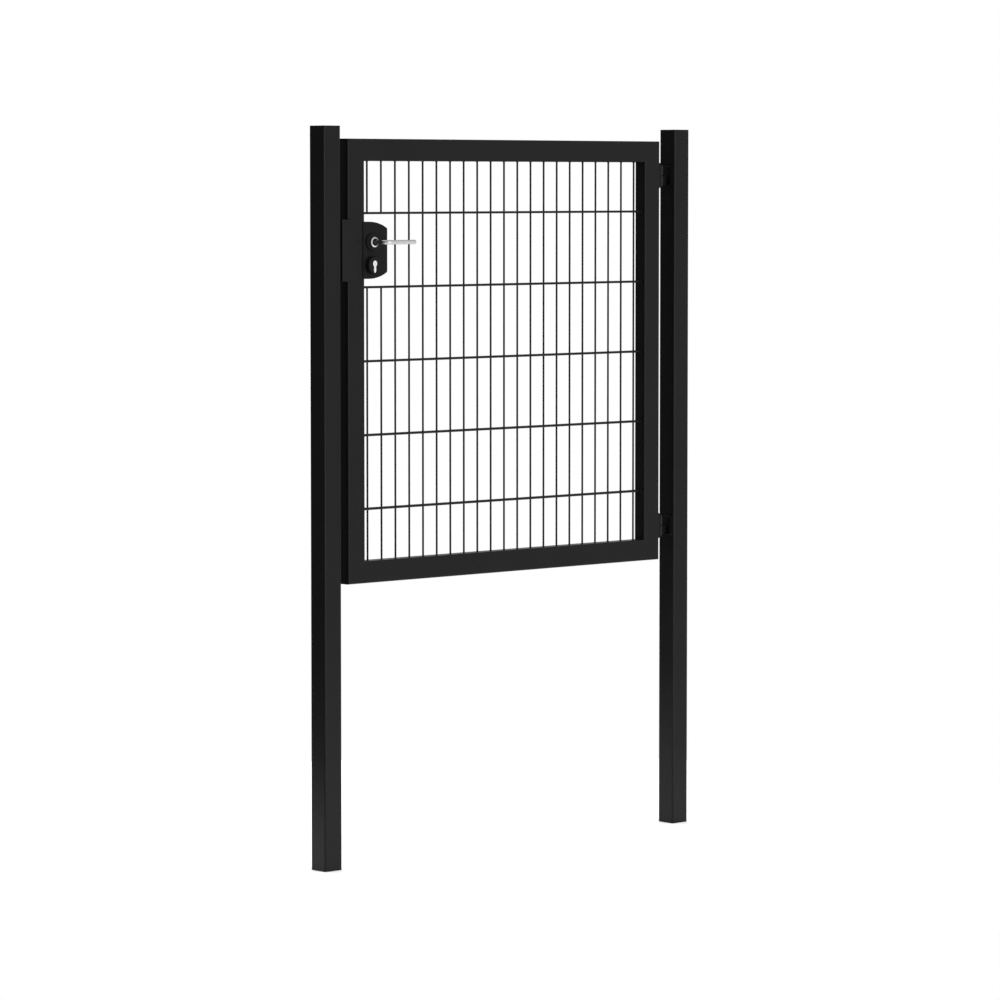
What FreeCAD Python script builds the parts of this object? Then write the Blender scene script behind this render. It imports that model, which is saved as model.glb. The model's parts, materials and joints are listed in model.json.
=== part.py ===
import FreeCAD, Part
import math
import os

V = FreeCAD.Vector

# Frame: origin at the centre of the hinge post's foot, X from the latch post to the hinge post,
# Y from the front to the back, Z up, all in millimetres.

# Posts
POST = 60.0
POST_WALL = 2.0
POST_RADIUS = 5.0
POST_LENGTH = 2000.0
CAP_THICK = 4.0
CAP_EDGE = 1.2
CAP_PLUG = 22.0
CAP_PLUG_WALL = 2.5
CAP_PLUG_PLAY = 0.1

# Leaf
LEAF_WIDTH = 1170.0
LEAF_HEIGHT = 1200.0
LEAF_BELOW_POST = 30.0
LEAF_FACE = 60.0
LEAF_DEPTH = 40.0
LEAF_WALL = 2.0
LEAF_RADIUS = 4.0
LATCH_GAP = 32.0
HINGE_GAP = 48.0

# Welded mesh
UPRIGHT_WIRE = 5.0
CROSS_WIRE = 6.0
WIRE_PITCH = 50.0
LEVEL_PITCH = 200.0
UPRIGHT_MARGIN = 20.0
LEVEL_MARGIN = 100.0
WIRE_STUB = 4.0
WIRE_LOCK_CLEAR = 3.0
WIRE_SIDES = 6

# Hinges
HINGE_SETBACK = 97.0
HINGE_AXIS_TO_POST = 26.0
KNUCKLE_RADIUS = 10.0
KNUCKLE_HEIGHT = 29.0
KNUCKLE_PLAY = 0.3
PIN_RADIUS = 6.0
PIN_FIT = 0.05
PIN_HEAD = 3.0
LEAF_PLATE_HEIGHT = 72.0
LEAF_PLATE_WIDTH = 36.0
LEAF_PLATE_THICK = 5.0
POST_PLATE_HEIGHT = 51.0
POST_PLATE_FRONT = -27.0
POST_PLATE_BACK = 11.0
POST_PLATE_THICK = 4.0
WEB_THICK = 10.0
PLATE_CORNER = 3.0

# Lock
HANDLE_ABOVE_MIDDLE = 22.0
CYLINDER_BELOW_HANDLE = 58.0
LOCK_AXIS_IN = 86.0
COVER_HEIGHT = 154.0
COVER_LAP = 7.0
COVER_STRAIGHT = 15.0
COVER_RIGHT_IN = 138.5
COVER_SIDE_HEIGHT = 118.0
COVER_PROUD = 2.0
COVER_WALL = 3.0
COVER_CORNER = 5.0
COVER_EDGE = 1.0
COVER_BORE_PLAY = 0.5
HANDLE_ROSE_PROUD = 5.0
ROSE_RADIUS = 24.0
ROSE_PROUD = 13.0
ROSE_BELOW_CYLINDER = 4.0
CASE_HALF = 12.0
CASE_RIGHT_IN = 130.0
CASE_HEIGHT = 108.0
CASE_CORNER = 2.0
CYL_RADIUS = 8.5
CYL_TAIL_RADIUS = 5.0
CYL_HEIGHT = 33.0
CYL_HALF_LENGTH = 32.5
CYL_PLAY = 0.15
KEYWAY = (2.4, 8.0, 4.0)
LATCH_HALF_DEPTH = 6.0
LATCH_HALF_HEIGHT = 10.0
LATCH_PROUD = 16.0
LATCH_PLAY = 0.25

# Lever handle
SPINDLE = 8.0
SPINDLE_HALF = 38.0
SPINDLE_PLAY = 0.05
COLLAR_RADIUS = 14.0
COLLAR_THICK = 7.0
COLLAR_PLAY = 0.3
LEVER_RADIUS = 6.0
LEVER_REACH = 56.0
LEVER_LENGTH = 104.0
LEVER_BEND = 14.0

# Keep
KEEP_HEIGHT = 166.0
KEEP_THICK = 4.0
KEEP_OVERLAP = 22.0
KEEP_STOP_CLEAR = 5.0
KEEP_BACK = 24.0
KEEP_LEAF_CLEAR = 6.0
KEEP_ROUND = 3.5
KEEP_BEND = 6.0

# Longer than any cut through the lock
THROUGH = 100.0

# Derived places
POST_HALF = POST / 2
LEAF_RIGHT = -POST_HALF - HINGE_GAP
LEAF_LEFT = LEAF_RIGHT - LEAF_WIDTH
LEAF_TOP = POST_LENGTH - LEAF_BELOW_POST
LEAF_BOTTOM = LEAF_TOP - LEAF_HEIGHT
LEAF_HALF = LEAF_DEPTH / 2
LATCH_POST_X = LEAF_LEFT - LATCH_GAP - POST_HALF
HINGE_X = -POST_HALF - HINGE_AXIS_TO_POST
HANDLE_X = LEAF_LEFT + LOCK_AXIS_IN
COVER_FRONT = LEAF_HALF + COVER_PROUD
HANDLE_ROSE_FRONT = COVER_FRONT + HANDLE_ROSE_PROUD
HINGE_LEVELS = {"upper": LEAF_TOP - HINGE_SETBACK, "lower": LEAF_BOTTOM + HINGE_SETBACK}


def spread(low, high, margin, pitch):
    """Places at one pitch, centred between two ends, as many as the margins leave room for."""
    count = int((high - low - 2 * margin) / pitch + 1e-6) + 1
    middle = (low + high) / 2
    return [middle + (i - (count - 1) / 2) * pitch for i in range(count)]


WIRE_PLACES = spread(LEAF_LEFT + LEAF_FACE, LEAF_RIGHT - LEAF_FACE, UPRIGHT_MARGIN, WIRE_PITCH)
LEVELS = spread(LEAF_BOTTOM + LEAF_FACE, LEAF_TOP - LEAF_FACE, LEVEL_MARGIN, LEVEL_PITCH)

# The lock sits midway between the two highest cross wires
LOCK_MIDDLE = (LEVELS[-2] + LEVELS[-1]) / 2
HANDLE_Z = LOCK_MIDDLE + HANDLE_ABOVE_MIDDLE
CYL_Z = HANDLE_Z - CYLINDER_BELOW_HANDLE


def box(x0, x1, y0, y1, z0, z1):
    return Part.makeBox(x1 - x0, y1 - y0, z1 - z0, V(x0, y0, z0))


def long_edges(solid, axis):
    """Straight edges that run along one axis: 0 for X, 1 for Y, 2 for Z."""
    found = []
    for edge in solid.Edges:
        a, b = edge.Vertexes[0].Point, edge.Vertexes[-1].Point
        gaps = [abs(a[i] - b[i]) for i in range(3)]
        if gaps[axis] > 0.1 and sum(gaps) - gaps[axis] < 1e-6:
            found.append(edge)
    return found


def rounded_box(x0, x1, y0, y1, z0, z1, axis, radius):
    solid = box(x0, x1, y0, y1, z0, z1)
    return solid.makeFillet(radius, long_edges(solid, axis))


def cornered_box(x0, x1, y0, y1, z0, z1, axis, cut):
    """Plate whose four corners are cut off across one axis."""
    solid = box(x0, x1, y0, y1, z0, z1)
    return solid.makeChamfer(cut, long_edges(solid, axis))


def edges_at(solid, axis, value):
    """Edges that lie wholly in one plane across an axis."""
    found = []
    for edge in solid.Edges:
        bounds = edge.BoundBox
        low = (bounds.XMin, bounds.YMin, bounds.ZMin)[axis]
        high = (bounds.XMax, bounds.YMax, bounds.ZMax)[axis]
        if abs(low - value) < 1e-4 and abs(high - value) < 1e-4:
            found.append(edge)
    return found


def square_tube(x0, x1, y0, y1, z0, z1, axis, wall, radius):
    """Rolled tube with rounded corners, open at both ends."""
    outer = rounded_box(x0, x1, y0, y1, z0, z1, axis, radius)
    low, high = [x0, y0, z0], [x1, y1, z1]
    for i in range(3):
        step = -1.0 if i == axis else wall
        low[i] += step
        high[i] -= step
    inner = rounded_box(low[0], high[0], low[1], high[1], low[2], high[2], axis, radius - wall)
    return outer.cut(inner)


def upright_rod(x, y, radius, z0, z1):
    return Part.makeCylinder(radius, z1 - z0, V(x, y, z0), V(0, 0, 1))


def cross_rod(x, z, radius, y0, y1):
    return Part.makeCylinder(radius, y1 - y0, V(x, y0, z), V(0, 1, 0))


# Posts and their caps
def post(x):
    return square_tube(x - POST_HALF, x + POST_HALF, -POST_HALF, POST_HALF, 0, POST_LENGTH,
                       2, POST_WALL, POST_RADIUS)


def post_cap(x):
    top = POST_LENGTH + CAP_THICK
    plate = rounded_box(x - POST_HALF, x + POST_HALF, -POST_HALF, POST_HALF, POST_LENGTH, top,
                        2, POST_RADIUS)
    plate = plate.makeChamfer(CAP_EDGE, edges_at(plate, 2, top))
    half = POST_HALF - POST_WALL - CAP_PLUG_PLAY
    plug = cornered_box(x - half, x + half, -half, half, POST_LENGTH - CAP_PLUG, POST_LENGTH,
                        2, POST_RADIUS - POST_WALL)
    inner = half - CAP_PLUG_WALL
    hollow = box(x - inner, x + inner, -inner, inner, POST_LENGTH - CAP_PLUG - 1, POST_LENGTH)
    return plate.fuse(plug.cut(hollow))


# Leaf frame, mitred at its four corners
def mitre_block(corners):
    """Prism over a four-sided outline in the leaf's plane, deeper than the leaf."""
    reach = LEAF_DEPTH
    points = [V(x, -reach, z) for x, z in corners]
    return Part.Face(Part.makePolygon(points + points[:1])).extrude(V(0, 2 * reach, 0))


def stile(outer_x, inward):
    inner_x = outer_x + inward * LEAF_FACE
    left, right = min(outer_x, inner_x), max(outer_x, inner_x)
    tube = square_tube(left, right, -LEAF_HALF, LEAF_HALF, LEAF_BOTTOM, LEAF_TOP,
                       2, LEAF_WALL, LEAF_RADIUS)
    return tube.common(mitre_block([(outer_x, LEAF_BOTTOM), (outer_x, LEAF_TOP),
                                    (inner_x, LEAF_TOP - LEAF_FACE),
                                    (inner_x, LEAF_BOTTOM + LEAF_FACE)]))


def rail(outer_z, inward):
    inner_z = outer_z + inward * LEAF_FACE
    low, high = min(outer_z, inner_z), max(outer_z, inner_z)
    tube = square_tube(LEAF_LEFT, LEAF_RIGHT, -LEAF_HALF, LEAF_HALF, low, high,
                       0, LEAF_WALL, LEAF_RADIUS)
    return tube.common(mitre_block([(LEAF_LEFT, outer_z), (LEAF_RIGHT, outer_z),
                                    (LEAF_RIGHT - LEAF_FACE, inner_z),
                                    (LEAF_LEFT + LEAF_FACE, inner_z)]))


def latch_passage(play):
    """The latch's bar from the lock case through the stile to its nose in the gap."""
    return box(LEAF_LEFT - LATCH_PROUD, LEAF_LEFT + LEAF_FACE,
               -LATCH_HALF_DEPTH - play, LATCH_HALF_DEPTH + play,
               HANDLE_Z - LATCH_HALF_HEIGHT - play, HANDLE_Z + LATCH_HALF_HEIGHT + play)


# Double-rod mesh: uprights in the middle plane, a cross rod before and behind them at each level
def wire_outline(centre, along, across, radius):
    points = []
    for i in range(WIRE_SIDES):
        angle = 2 * math.pi * (i + 0.5) / WIRE_SIDES
        points.append(centre + along * (radius * math.sin(angle)) + across * (radius * math.cos(angle)))
    return Part.Face(Part.makePolygon(points + points[:1]))


def upright(x, z0, z1):
    radius = UPRIGHT_WIRE / 2 / math.cos(math.pi / WIRE_SIDES)
    return wire_outline(V(x, 0, z0), V(1, 0, 0), V(0, 1, 0), radius).extrude(V(0, 0, z1 - z0))


def cross_wire(z, side):
    radius = CROSS_WIRE / 2 / math.cos(math.pi / WIRE_SIDES)
    y = side * (UPRIGHT_WIRE / 2 + CROSS_WIRE / 2)
    start = V(LEAF_LEFT + LEAF_FACE, y, z)
    length = LEAF_WIDTH - 2 * LEAF_FACE
    return wire_outline(start, V(0, 0, 1), V(0, 1, 0), radius).extrude(V(length, 0, 0))


def mesh_panel():
    low, high = LEAF_BOTTOM + LEAF_FACE, LEAF_TOP - LEAF_FACE
    lock_edge = LEAF_LEFT + COVER_RIGHT_IN + WIRE_LOCK_CLEAR + UPRIGHT_WIRE / 2
    bars = []
    for x in WIRE_PLACES:
        if x < lock_edge:
            bars.append(upright(x, low, LEVELS[-2] + WIRE_STUB))
            bars.append(upright(x, LEVELS[-1] - WIRE_STUB, high))
        else:
            bars.append(upright(x, low, high))
    for z in LEVELS:
        bars.append(cross_wire(z, -1))
        bars.append(cross_wire(z, 1))
    return bars[0].multiFuse(bars[1:])


# Hinges: a plate, a web and a knuckle on each side, one pin
def knuckle(z0, z1, bore):
    ring = upright_rod(HINGE_X, 0, KNUCKLE_RADIUS, z0, z1)
    return ring.cut(upright_rod(HINGE_X, 0, bore, z0 - 1, z1 + 1))


def hinge_leaf_plate(z):
    """Upper knuckle, carried by the leaf."""
    face = LEAF_RIGHT + LEAF_PLATE_THICK
    half = LEAF_PLATE_WIDTH / 2
    plate = cornered_box(LEAF_RIGHT, face, -half, half,
                         z - LEAF_PLATE_HEIGHT / 2, z + LEAF_PLATE_HEIGHT / 2, 0, PLATE_CORNER)
    z0, z1 = z + KNUCKLE_PLAY / 2, z + KNUCKLE_HEIGHT
    web = box(face - 1, HINGE_X, -WEB_THICK / 2, WEB_THICK / 2, z0, z1)
    bore = PIN_RADIUS + PIN_FIT
    web = web.cut(upright_rod(HINGE_X, 0, KNUCKLE_RADIUS - 1, z0 - 1, z1 + 1))
    return plate.fuse([web, knuckle(z0, z1, bore)]).removeSplitter()


def hinge_post_plate(z):
    """Lower knuckle, carried by the post."""
    face = -POST_HALF - POST_PLATE_THICK
    plate = cornered_box(face, -POST_HALF, POST_PLATE_FRONT, POST_PLATE_BACK,
                         z - POST_PLATE_HEIGHT / 2, z + POST_PLATE_HEIGHT / 2, 0, PLATE_CORNER)
    z0, z1 = z - KNUCKLE_HEIGHT, z - KNUCKLE_PLAY / 2
    web = box(HINGE_X, face + 1, -WEB_THICK / 2, WEB_THICK / 2, z0, z1)
    web = web.cut(upright_rod(HINGE_X, 0, KNUCKLE_RADIUS - 1, z0 - 1, z1 + 1))
    return plate.fuse([web, knuckle(z0, z1, PIN_RADIUS)]).removeSplitter()


def hinge_pin(z):
    low = z - KNUCKLE_HEIGHT
    pin = upright_rod(HINGE_X, 0, PIN_RADIUS, low, z + KNUCKLE_HEIGHT - 1.5)
    head = upright_rod(HINGE_X, 0, PIN_RADIUS + 2, low - PIN_HEAD, low)
    return pin.fuse(head).removeSplitter()


# Lock
def cover_outline(inset):
    """D-shaped outline of the lock in the leaf's plane, inset by a wall."""
    left = LEAF_LEFT + LEAF_FACE - COVER_LAP
    start = LEAF_LEFT + LEAF_FACE + COVER_STRAIGHT
    right = LEAF_LEFT + COVER_RIGHT_IN - inset
    middle = LOCK_MIDDLE
    reach = LEAF_LEFT + COVER_RIGHT_IN - start
    drop = (COVER_HEIGHT - COVER_SIDE_HEIGHT) / 2
    radius = (reach ** 2 + drop ** 2) / (2 * drop)
    half = COVER_HEIGHT / 2 - inset
    arc = radius - inset
    centre = half - arc

    def on_arc(x, side):
        return V(x, 0, middle + side * (centre + math.sqrt(arc ** 2 - (x - start) ** 2)))

    halfway = (start + right) / 2
    edges = [Part.LineSegment(V(left + inset, 0, middle - half), V(left + inset, 0, middle + half)),
             Part.LineSegment(V(left + inset, 0, middle + half), V(start, 0, middle + half)),
             Part.Arc(V(start, 0, middle + half), on_arc(halfway, 1), on_arc(right, 1)),
             Part.LineSegment(on_arc(right, 1), on_arc(right, -1)),
             Part.Arc(on_arc(right, -1), on_arc(halfway, -1), V(start, 0, middle - half)),
             Part.LineSegment(V(start, 0, middle - half), V(left + inset, 0, middle - half))]
    return Part.Wire([edge.toShape() for edge in edges])


def cover_block(inset, y0, y1):
    wire = cover_outline(inset)
    wire.translate(V(0, y0, 0))
    return Part.Face(wire).extrude(V(0, y1 - y0, 0))


def cylinder_profile(play, y0, y1):
    """Key cylinder: a round barrel with a narrower round-ended tail under it."""
    radius, tail = CYL_RADIUS + play, CYL_TAIL_RADIUS + play
    foot = CYL_Z + CYL_RADIUS - CYL_HEIGHT + CYL_TAIL_RADIUS
    barrel = cross_rod(HANDLE_X, CYL_Z, radius, y0, y1)
    neck = box(HANDLE_X - tail, HANDLE_X + tail, y0, y1, foot, CYL_Z)
    end = cross_rod(HANDLE_X, foot, tail, y0, y1)
    return barrel.fuse([neck, end]).removeSplitter()


def lock_cover(side):
    """Half shell before or behind the leaf, lapping over the stile."""
    front = -COVER_FRONT
    shell = cover_block(0, front, 0)
    right = LEAF_LEFT + COVER_RIGHT_IN
    corners = [e for e in long_edges(shell, 1) if abs(e.Vertexes[0].X - right) < 0.01]
    shell = shell.makeFillet(COVER_CORNER, corners)
    shell = shell.makeChamfer(COVER_EDGE, edges_at(shell, 1, front))
    stile_room = box(LEAF_LEFT, LEAF_LEFT + LEAF_FACE, -LEAF_HALF, 1, LEAF_BOTTOM, LEAF_TOP)
    shell = shell.cut(stile_room)
    pocket = cover_block(COVER_WALL, front + COVER_WALL, 1)
    clear = box(LEAF_LEFT + LEAF_FACE, LEAF_RIGHT, -THROUGH, THROUGH, LEAF_BOTTOM, LEAF_TOP)
    shell = shell.cut(pocket.common(clear))
    rose = cross_rod(HANDLE_X, HANDLE_Z, ROSE_RADIUS, -HANDLE_ROSE_FRONT, front + 1)
    shell = shell.fuse(rose)
    shell = shell.cut(cylinder_profile(CYL_PLAY, -THROUGH, 1))
    bore = SPINDLE / math.sqrt(2) + COVER_BORE_PLAY
    shell = shell.cut(cross_rod(HANDLE_X, HANDLE_Z, bore, -THROUGH, 1))
    return shell if side < 0 else shell.mirror(V(0, 0, 0), V(0, 1, 0))


def cylinder_rose(side):
    """Raised round collar that guards the key cylinder's end."""
    back = -COVER_FRONT
    front = back - ROSE_PROUD
    rose = cross_rod(HANDLE_X, CYL_Z - ROSE_BELOW_CYLINDER, ROSE_RADIUS, front, back)
    rose = rose.cut(cylinder_profile(CYL_PLAY, -THROUGH, 1))
    return rose if side < 0 else rose.mirror(V(0, 0, 0), V(0, 1, 0))


def lock_case():
    case = cornered_box(LEAF_LEFT + LEAF_FACE, LEAF_LEFT + CASE_RIGHT_IN, -CASE_HALF, CASE_HALF,
                        LOCK_MIDDLE - CASE_HEIGHT / 2, LOCK_MIDDLE + CASE_HEIGHT / 2, 1, CASE_CORNER)
    case = case.cut(cylinder_profile(CYL_PLAY, -THROUGH, THROUGH))
    bore = SPINDLE / math.sqrt(2) + SPINDLE_PLAY
    return case.cut(cross_rod(HANDLE_X, HANDLE_Z, bore, -THROUGH, THROUGH))


def lock_cylinder():
    body = cylinder_profile(0, -CYL_HALF_LENGTH, CYL_HALF_LENGTH)
    width, height, deep = KEYWAY
    for side in (-1, 1):
        end = side * CYL_HALF_LENGTH
        y0, y1 = sorted((end - side * deep, end + side))
        body = body.cut(box(HANDLE_X - width / 2, HANDLE_X + width / 2, y0, y1,
                            CYL_Z - height / 2, CYL_Z + height / 2))
    return body


def latch_bolt():
    bar = latch_passage(0)
    tip = LEAF_LEFT - LATCH_PROUD
    nose = [V(tip - 1, -LATCH_HALF_DEPTH - 1, 0), V(tip + LATCH_PROUD - 4, -LATCH_HALF_DEPTH - 1, 0),
            V(tip - 1, LATCH_HALF_DEPTH - 3, 0)]
    wedge = Part.Face(Part.makePolygon(nose + nose[:1])).extrude(V(0, 0, LEAF_TOP))
    return bar.cut(wedge)


# Lever handle, turning on one square spindle
def handle_spindle():
    half = SPINDLE / 2
    bar = box(HANDLE_X - half, HANDLE_X + half, -SPINDLE_HALF, SPINDLE_HALF,
              HANDLE_Z - half, HANDLE_Z + half)
    return bar


def lever(side):
    y0 = -HANDLE_ROSE_FRONT - COLLAR_PLAY
    y1 = y0 - COLLAR_THICK
    y2 = -COVER_FRONT - LEVER_REACH
    bend = LEVER_BEND
    collar = cross_rod(HANDLE_X, HANDLE_Z, COLLAR_RADIUS, y1, y0)
    corner = bend * (1 - math.sqrt(0.5))
    stations = [V(HANDLE_X, y1 + 1, HANDLE_Z), V(HANDLE_X, y2 + bend, HANDLE_Z),
                V(HANDLE_X + corner, y2 + corner, HANDLE_Z), V(HANDLE_X + bend, y2, HANDLE_Z),
                V(HANDLE_X + 2 * bend, y2, HANDLE_Z)]
    ring = Part.Wire(Part.makeCircle(LEVER_RADIUS, stations[0], V(0, 1, 0)))
    neck = Part.makePolygon(stations).makePipeShell([ring], True, False, 1)
    tip = HANDLE_X + LEVER_LENGTH
    arm = Part.makeCylinder(LEVER_RADIUS, tip - stations[-1].x, stations[-1], V(1, 0, 0))
    shape = collar.fuse([neck, arm]).removeSplitter()
    half = SPINDLE / 2
    socket = box(HANDLE_X - half, HANDLE_X + half, -SPINDLE_HALF, 0, HANDLE_Z - half, HANDLE_Z + half)
    shape = shape.cut(socket)
    return shape if side < 0 else shape.mirror(V(0, 0, 0), V(0, 1, 0))


# Keep on the latch post: side plate, stop flange before the leaf, a gusset at each end
def keep():
    wall = LATCH_POST_X + POST_HALF
    top = LOCK_MIDDLE + KEEP_HEIGHT / 2
    low = LOCK_MIDDLE - KEEP_HEIGHT / 2
    back_of_flange = -LEAF_HALF - KEEP_STOP_CLEAR
    front = back_of_flange - KEEP_THICK
    plate = box(wall, wall + KEEP_THICK, front, KEEP_BACK, low, top)
    flange = box(wall, LEAF_LEFT + KEEP_OVERLAP, front, back_of_flange, low, top)
    angle = plate.fuse(flange)
    gusset_right = LEAF_LEFT - KEEP_LEAF_CLEAR
    for z0 in (low, top - KEEP_THICK):
        points = [V(wall, front, z0), V(gusset_right, front, z0),
                  V(gusset_right, back_of_flange + 4, z0), V(wall + KEEP_THICK, KEEP_BACK, z0),
                  V(wall, KEEP_BACK, z0)]
        angle = angle.fuse(Part.Face(Part.makePolygon(points + points[:1])).extrude(V(0, 0, KEEP_THICK)))
    angle = angle.removeSplitter()
    for x, radius in ((wall, KEEP_BEND), (LEAF_LEFT + KEEP_OVERLAP, KEEP_ROUND)):
        edge = [e for e in long_edges(angle, 2)
                if abs(e.Vertexes[0].X - x) < 0.01 and abs(e.Vertexes[0].Y - front) < 0.01]
        angle = angle.makeFillet(radius, edge)
    return angle


def build():
    passage = latch_passage(LATCH_PLAY)
    parts = {
        "hinge_post": post(0),
        "latch_post": post(LATCH_POST_X),
        "hinge_post_cap": post_cap(0),
        "latch_post_cap": post_cap(LATCH_POST_X),
        "keep": keep(),
        "top_rail": rail(LEAF_TOP, -1),
        "bottom_rail": rail(LEAF_BOTTOM, 1),
        "latch_stile": stile(LEAF_LEFT, 1).cut(passage),
        "hinge_stile": stile(LEAF_RIGHT, -1),
        "mesh_panel": mesh_panel(),
        "lock_case": lock_case(),
        "lock_cover_front": lock_cover(-1),
        "lock_cover_back": lock_cover(1),
        "cylinder_rose_front": cylinder_rose(-1),
        "cylinder_rose_back": cylinder_rose(1),
        "lock_cylinder": lock_cylinder(),
        "latch_bolt": latch_bolt(),
        "handle_spindle": handle_spindle(),
        "lever_front": lever(-1),
        "lever_back": lever(1),
    }
    for name, z in HINGE_LEVELS.items():
        parts[name + "_hinge_leaf_plate"] = hinge_leaf_plate(z)
        parts[name + "_hinge_post_plate"] = hinge_post_plate(z)
        parts[name + "_hinge_pin"] = hinge_pin(z)
    return parts


os.makedirs("parts", exist_ok=True)
for node, shape in build().items():
    shape.exportStep("parts/" + node + ".step")
    print(node, shape.isValid(), len(shape.Solids), round(shape.Volume / 1000, 1), "cm3")
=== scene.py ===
import bpy, bmesh
import json
import math
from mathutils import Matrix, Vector


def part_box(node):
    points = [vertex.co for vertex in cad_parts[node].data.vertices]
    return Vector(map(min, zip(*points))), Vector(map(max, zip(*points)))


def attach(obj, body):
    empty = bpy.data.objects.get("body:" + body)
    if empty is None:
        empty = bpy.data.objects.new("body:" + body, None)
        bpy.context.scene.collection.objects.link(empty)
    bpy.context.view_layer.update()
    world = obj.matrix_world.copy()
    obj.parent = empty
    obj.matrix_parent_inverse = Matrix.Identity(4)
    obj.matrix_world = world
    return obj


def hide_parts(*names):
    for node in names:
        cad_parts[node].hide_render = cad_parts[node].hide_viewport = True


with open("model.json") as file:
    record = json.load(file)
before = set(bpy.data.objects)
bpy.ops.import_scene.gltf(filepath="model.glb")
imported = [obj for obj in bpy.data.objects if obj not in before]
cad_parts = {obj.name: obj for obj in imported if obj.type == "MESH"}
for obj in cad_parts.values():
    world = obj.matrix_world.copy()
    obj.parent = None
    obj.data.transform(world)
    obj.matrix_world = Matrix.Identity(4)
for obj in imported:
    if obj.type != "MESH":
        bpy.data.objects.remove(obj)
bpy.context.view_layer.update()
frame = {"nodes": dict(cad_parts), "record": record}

MM = 0.001
scene = bpy.context.scene

X, Y, Z = 0, 1, 2

# Sizes that the frame doesn't state, in metres

# Posts, their caps and the leaf's frame
TUBE_WALL = 2.0 * MM
POST_RADIUS = 5.0 * MM
LEAF_RADIUS = 4.0 * MM
CAP_THICK = 4.0 * MM
CAP_EDGE = 1.2 * MM
CAP_PLUG_PLAY = 0.2 * MM
CAP_PLUG_WALL = 2.5 * MM
CAP_PLUG_HOLLOW_SHARE = 0.8

# Welded mesh: 5 mm uprights and 6 mm cross wires, each with its zinc and coat, and the weld lumps
UPRIGHT_RADIUS = 2.65 * MM
CROSS_RADIUS = 3.15 * MM
WIRE_SIDES = 14
WIRE_EDGE = 0.5 * MM
WIRE_PITCH = 50.0 * MM
WIRE_STUB = 2.6 * MM
MESH_MARGIN = 40.0 * MM
LEVEL_PITCH = 200.0 * MM
LEVEL_COUNT = 5
WELD_SIZE = (3.1 * MM, 1.5 * MM, 3.3 * MM)
UPRIGHT_FOOT_SIZE = (3.8 * MM, 3.8 * MM, 2.2 * MM)
CROSS_FOOT_SIZE = (2.4 * MM, 4.2 * MM, 4.2 * MM)

# Lock covers and roses
COVER_STRAIGHT = 15.0 * MM
COVER_SIDE_HEIGHT = 118.0 * MM
COVER_CORNER = 5.0 * MM
COVER_STEPS = 20
COVER_SKIN = 2.0 * MM
COVER_FRONT_EDGE = 1.0 * MM
COVER_BACK_EDGE = 0.4 * MM
COVER_WIRE_ROOM = 3.0 * MM
ROSE_RADIUS = 24.0 * MM
ROSE_EDGE = 2.5 * MM
ROSE_SEAT = 1.0 * MM

# Key cylinder and latch; the keyway's boxes are their corners along X and Z from the plug's middle
CYLINDER_HEIGHT = 33.0 * MM
CYLINDER_PLAY = 0.5 * MM
BARREL_RADIUS = 8.5 * MM
TAIL_RADIUS = 5.0 * MM
TAIL_ROUND_SHARE = 0.999
PLUG_RADIUS = 6.4 * MM
PLUG_GROOVE_OUTSIDE = 0.25 * MM
PLUG_GROOVE_INSIDE = 0.1 * MM
PLUG_GROOVE_DEPTH = 0.4 * MM
KEYWAY_DEPTH = 5.0 * MM
KEYWAY_SLOT = (-0.9 * MM, -4.2 * MM, 0.9 * MM, 3.6 * MM)
KEYWAY_WARD = (-0.2 * MM, -1.4 * MM, 1.9 * MM, -0.2 * MM)
LATCH_SLOPE = 12.0 * MM
LATCH_EDGE = 0.6 * MM

# Lever, its collar and the bush between them
LEVER_RADIUS = 6.0 * MM
LEVER_BEND = 14.0 * MM
LEVER_SEAT = 1.0 * MM
LEVER_TIP_EDGE = 2.2 * MM
COLLAR_RADIUS = 14.0 * MM
COLLAR_THICK = 7.0 * MM
COLLAR_SLOPE = 3.4 * MM
COLLAR_DROP = 2.2 * MM
COLLAR_LIP = 0.4 * MM
COLLAR_RECESS = 1.5 * MM
COLLAR_EDGE = 0.5 * MM
BUSH_FRONT = 0.3 * MM
BUSH_BACK = 3.0 * MM
BUSH_GRIP = 0.2 * MM
BUSH_PLAY = 0.6 * MM
BUSH_DISH = 1.2 * MM

# Keep and its gussets
KEEP_THICK = 4.0 * MM
KEEP_ROUND = 3.5 * MM
KEEP_STEP = 6.0 * MM
KEEP_STEP_EDGE = 0.8 * MM
GUSSET_SHORT = 6.0 * MM
GUSSET_CUT = 4.0 * MM

# Hinges
LEAF_PLATE_THICK = 5.0 * MM
POST_PLATE_THICK = 4.0 * MM
POST_PLATE_TAPER = 9.0 * MM
PLATE_CORNER = 3.0 * MM
HINGE_EDGE = 0.8 * MM
HINGE_WEB = 10.0 * MM
WEB_SEAT = 0.5 * MM
KNUCKLE_RADIUS = 10.0 * MM
KNUCKLE_PLAY = 0.3 * MM
PIN_RADIUS = 6.0 * MM
PIN_PLAY = 0.05 * MM
PIN_HEAD = 3.0 * MM
PIN_HEAD_RIM = 2.0 * MM
PIN_HEAD_EDGE = 0.7 * MM

# How far a cutting block reaches past what it cuts, how close a point lies to count as on a plane
# or on a round rim, and how nearly two directions agree to count as one
OVERCUT = 10.0 * MM
TOUCH = 1e-5
RIM_REACH = 0.2 * MM
SAME_WAY = 0.99


# Picking and modelling helpers

def box_of(name):
    low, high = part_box(name)
    return Vector(low), Vector(high)


def handle_axis():
    """Where the handle turns, along the leaf and up."""
    low, high = box_of("handle_spindle")
    return (low.x + high.x) / 2, (low.z + high.z) / 2


def clear_selection():
    if bpy.context.object and bpy.context.object.mode != "OBJECT":
        bpy.ops.object.mode_set(mode="OBJECT")
    bpy.ops.object.select_all(action="DESELECT")


def make_active(piece):
    clear_selection()
    piece.select_set(True)
    bpy.context.view_layer.objects.active = piece


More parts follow.
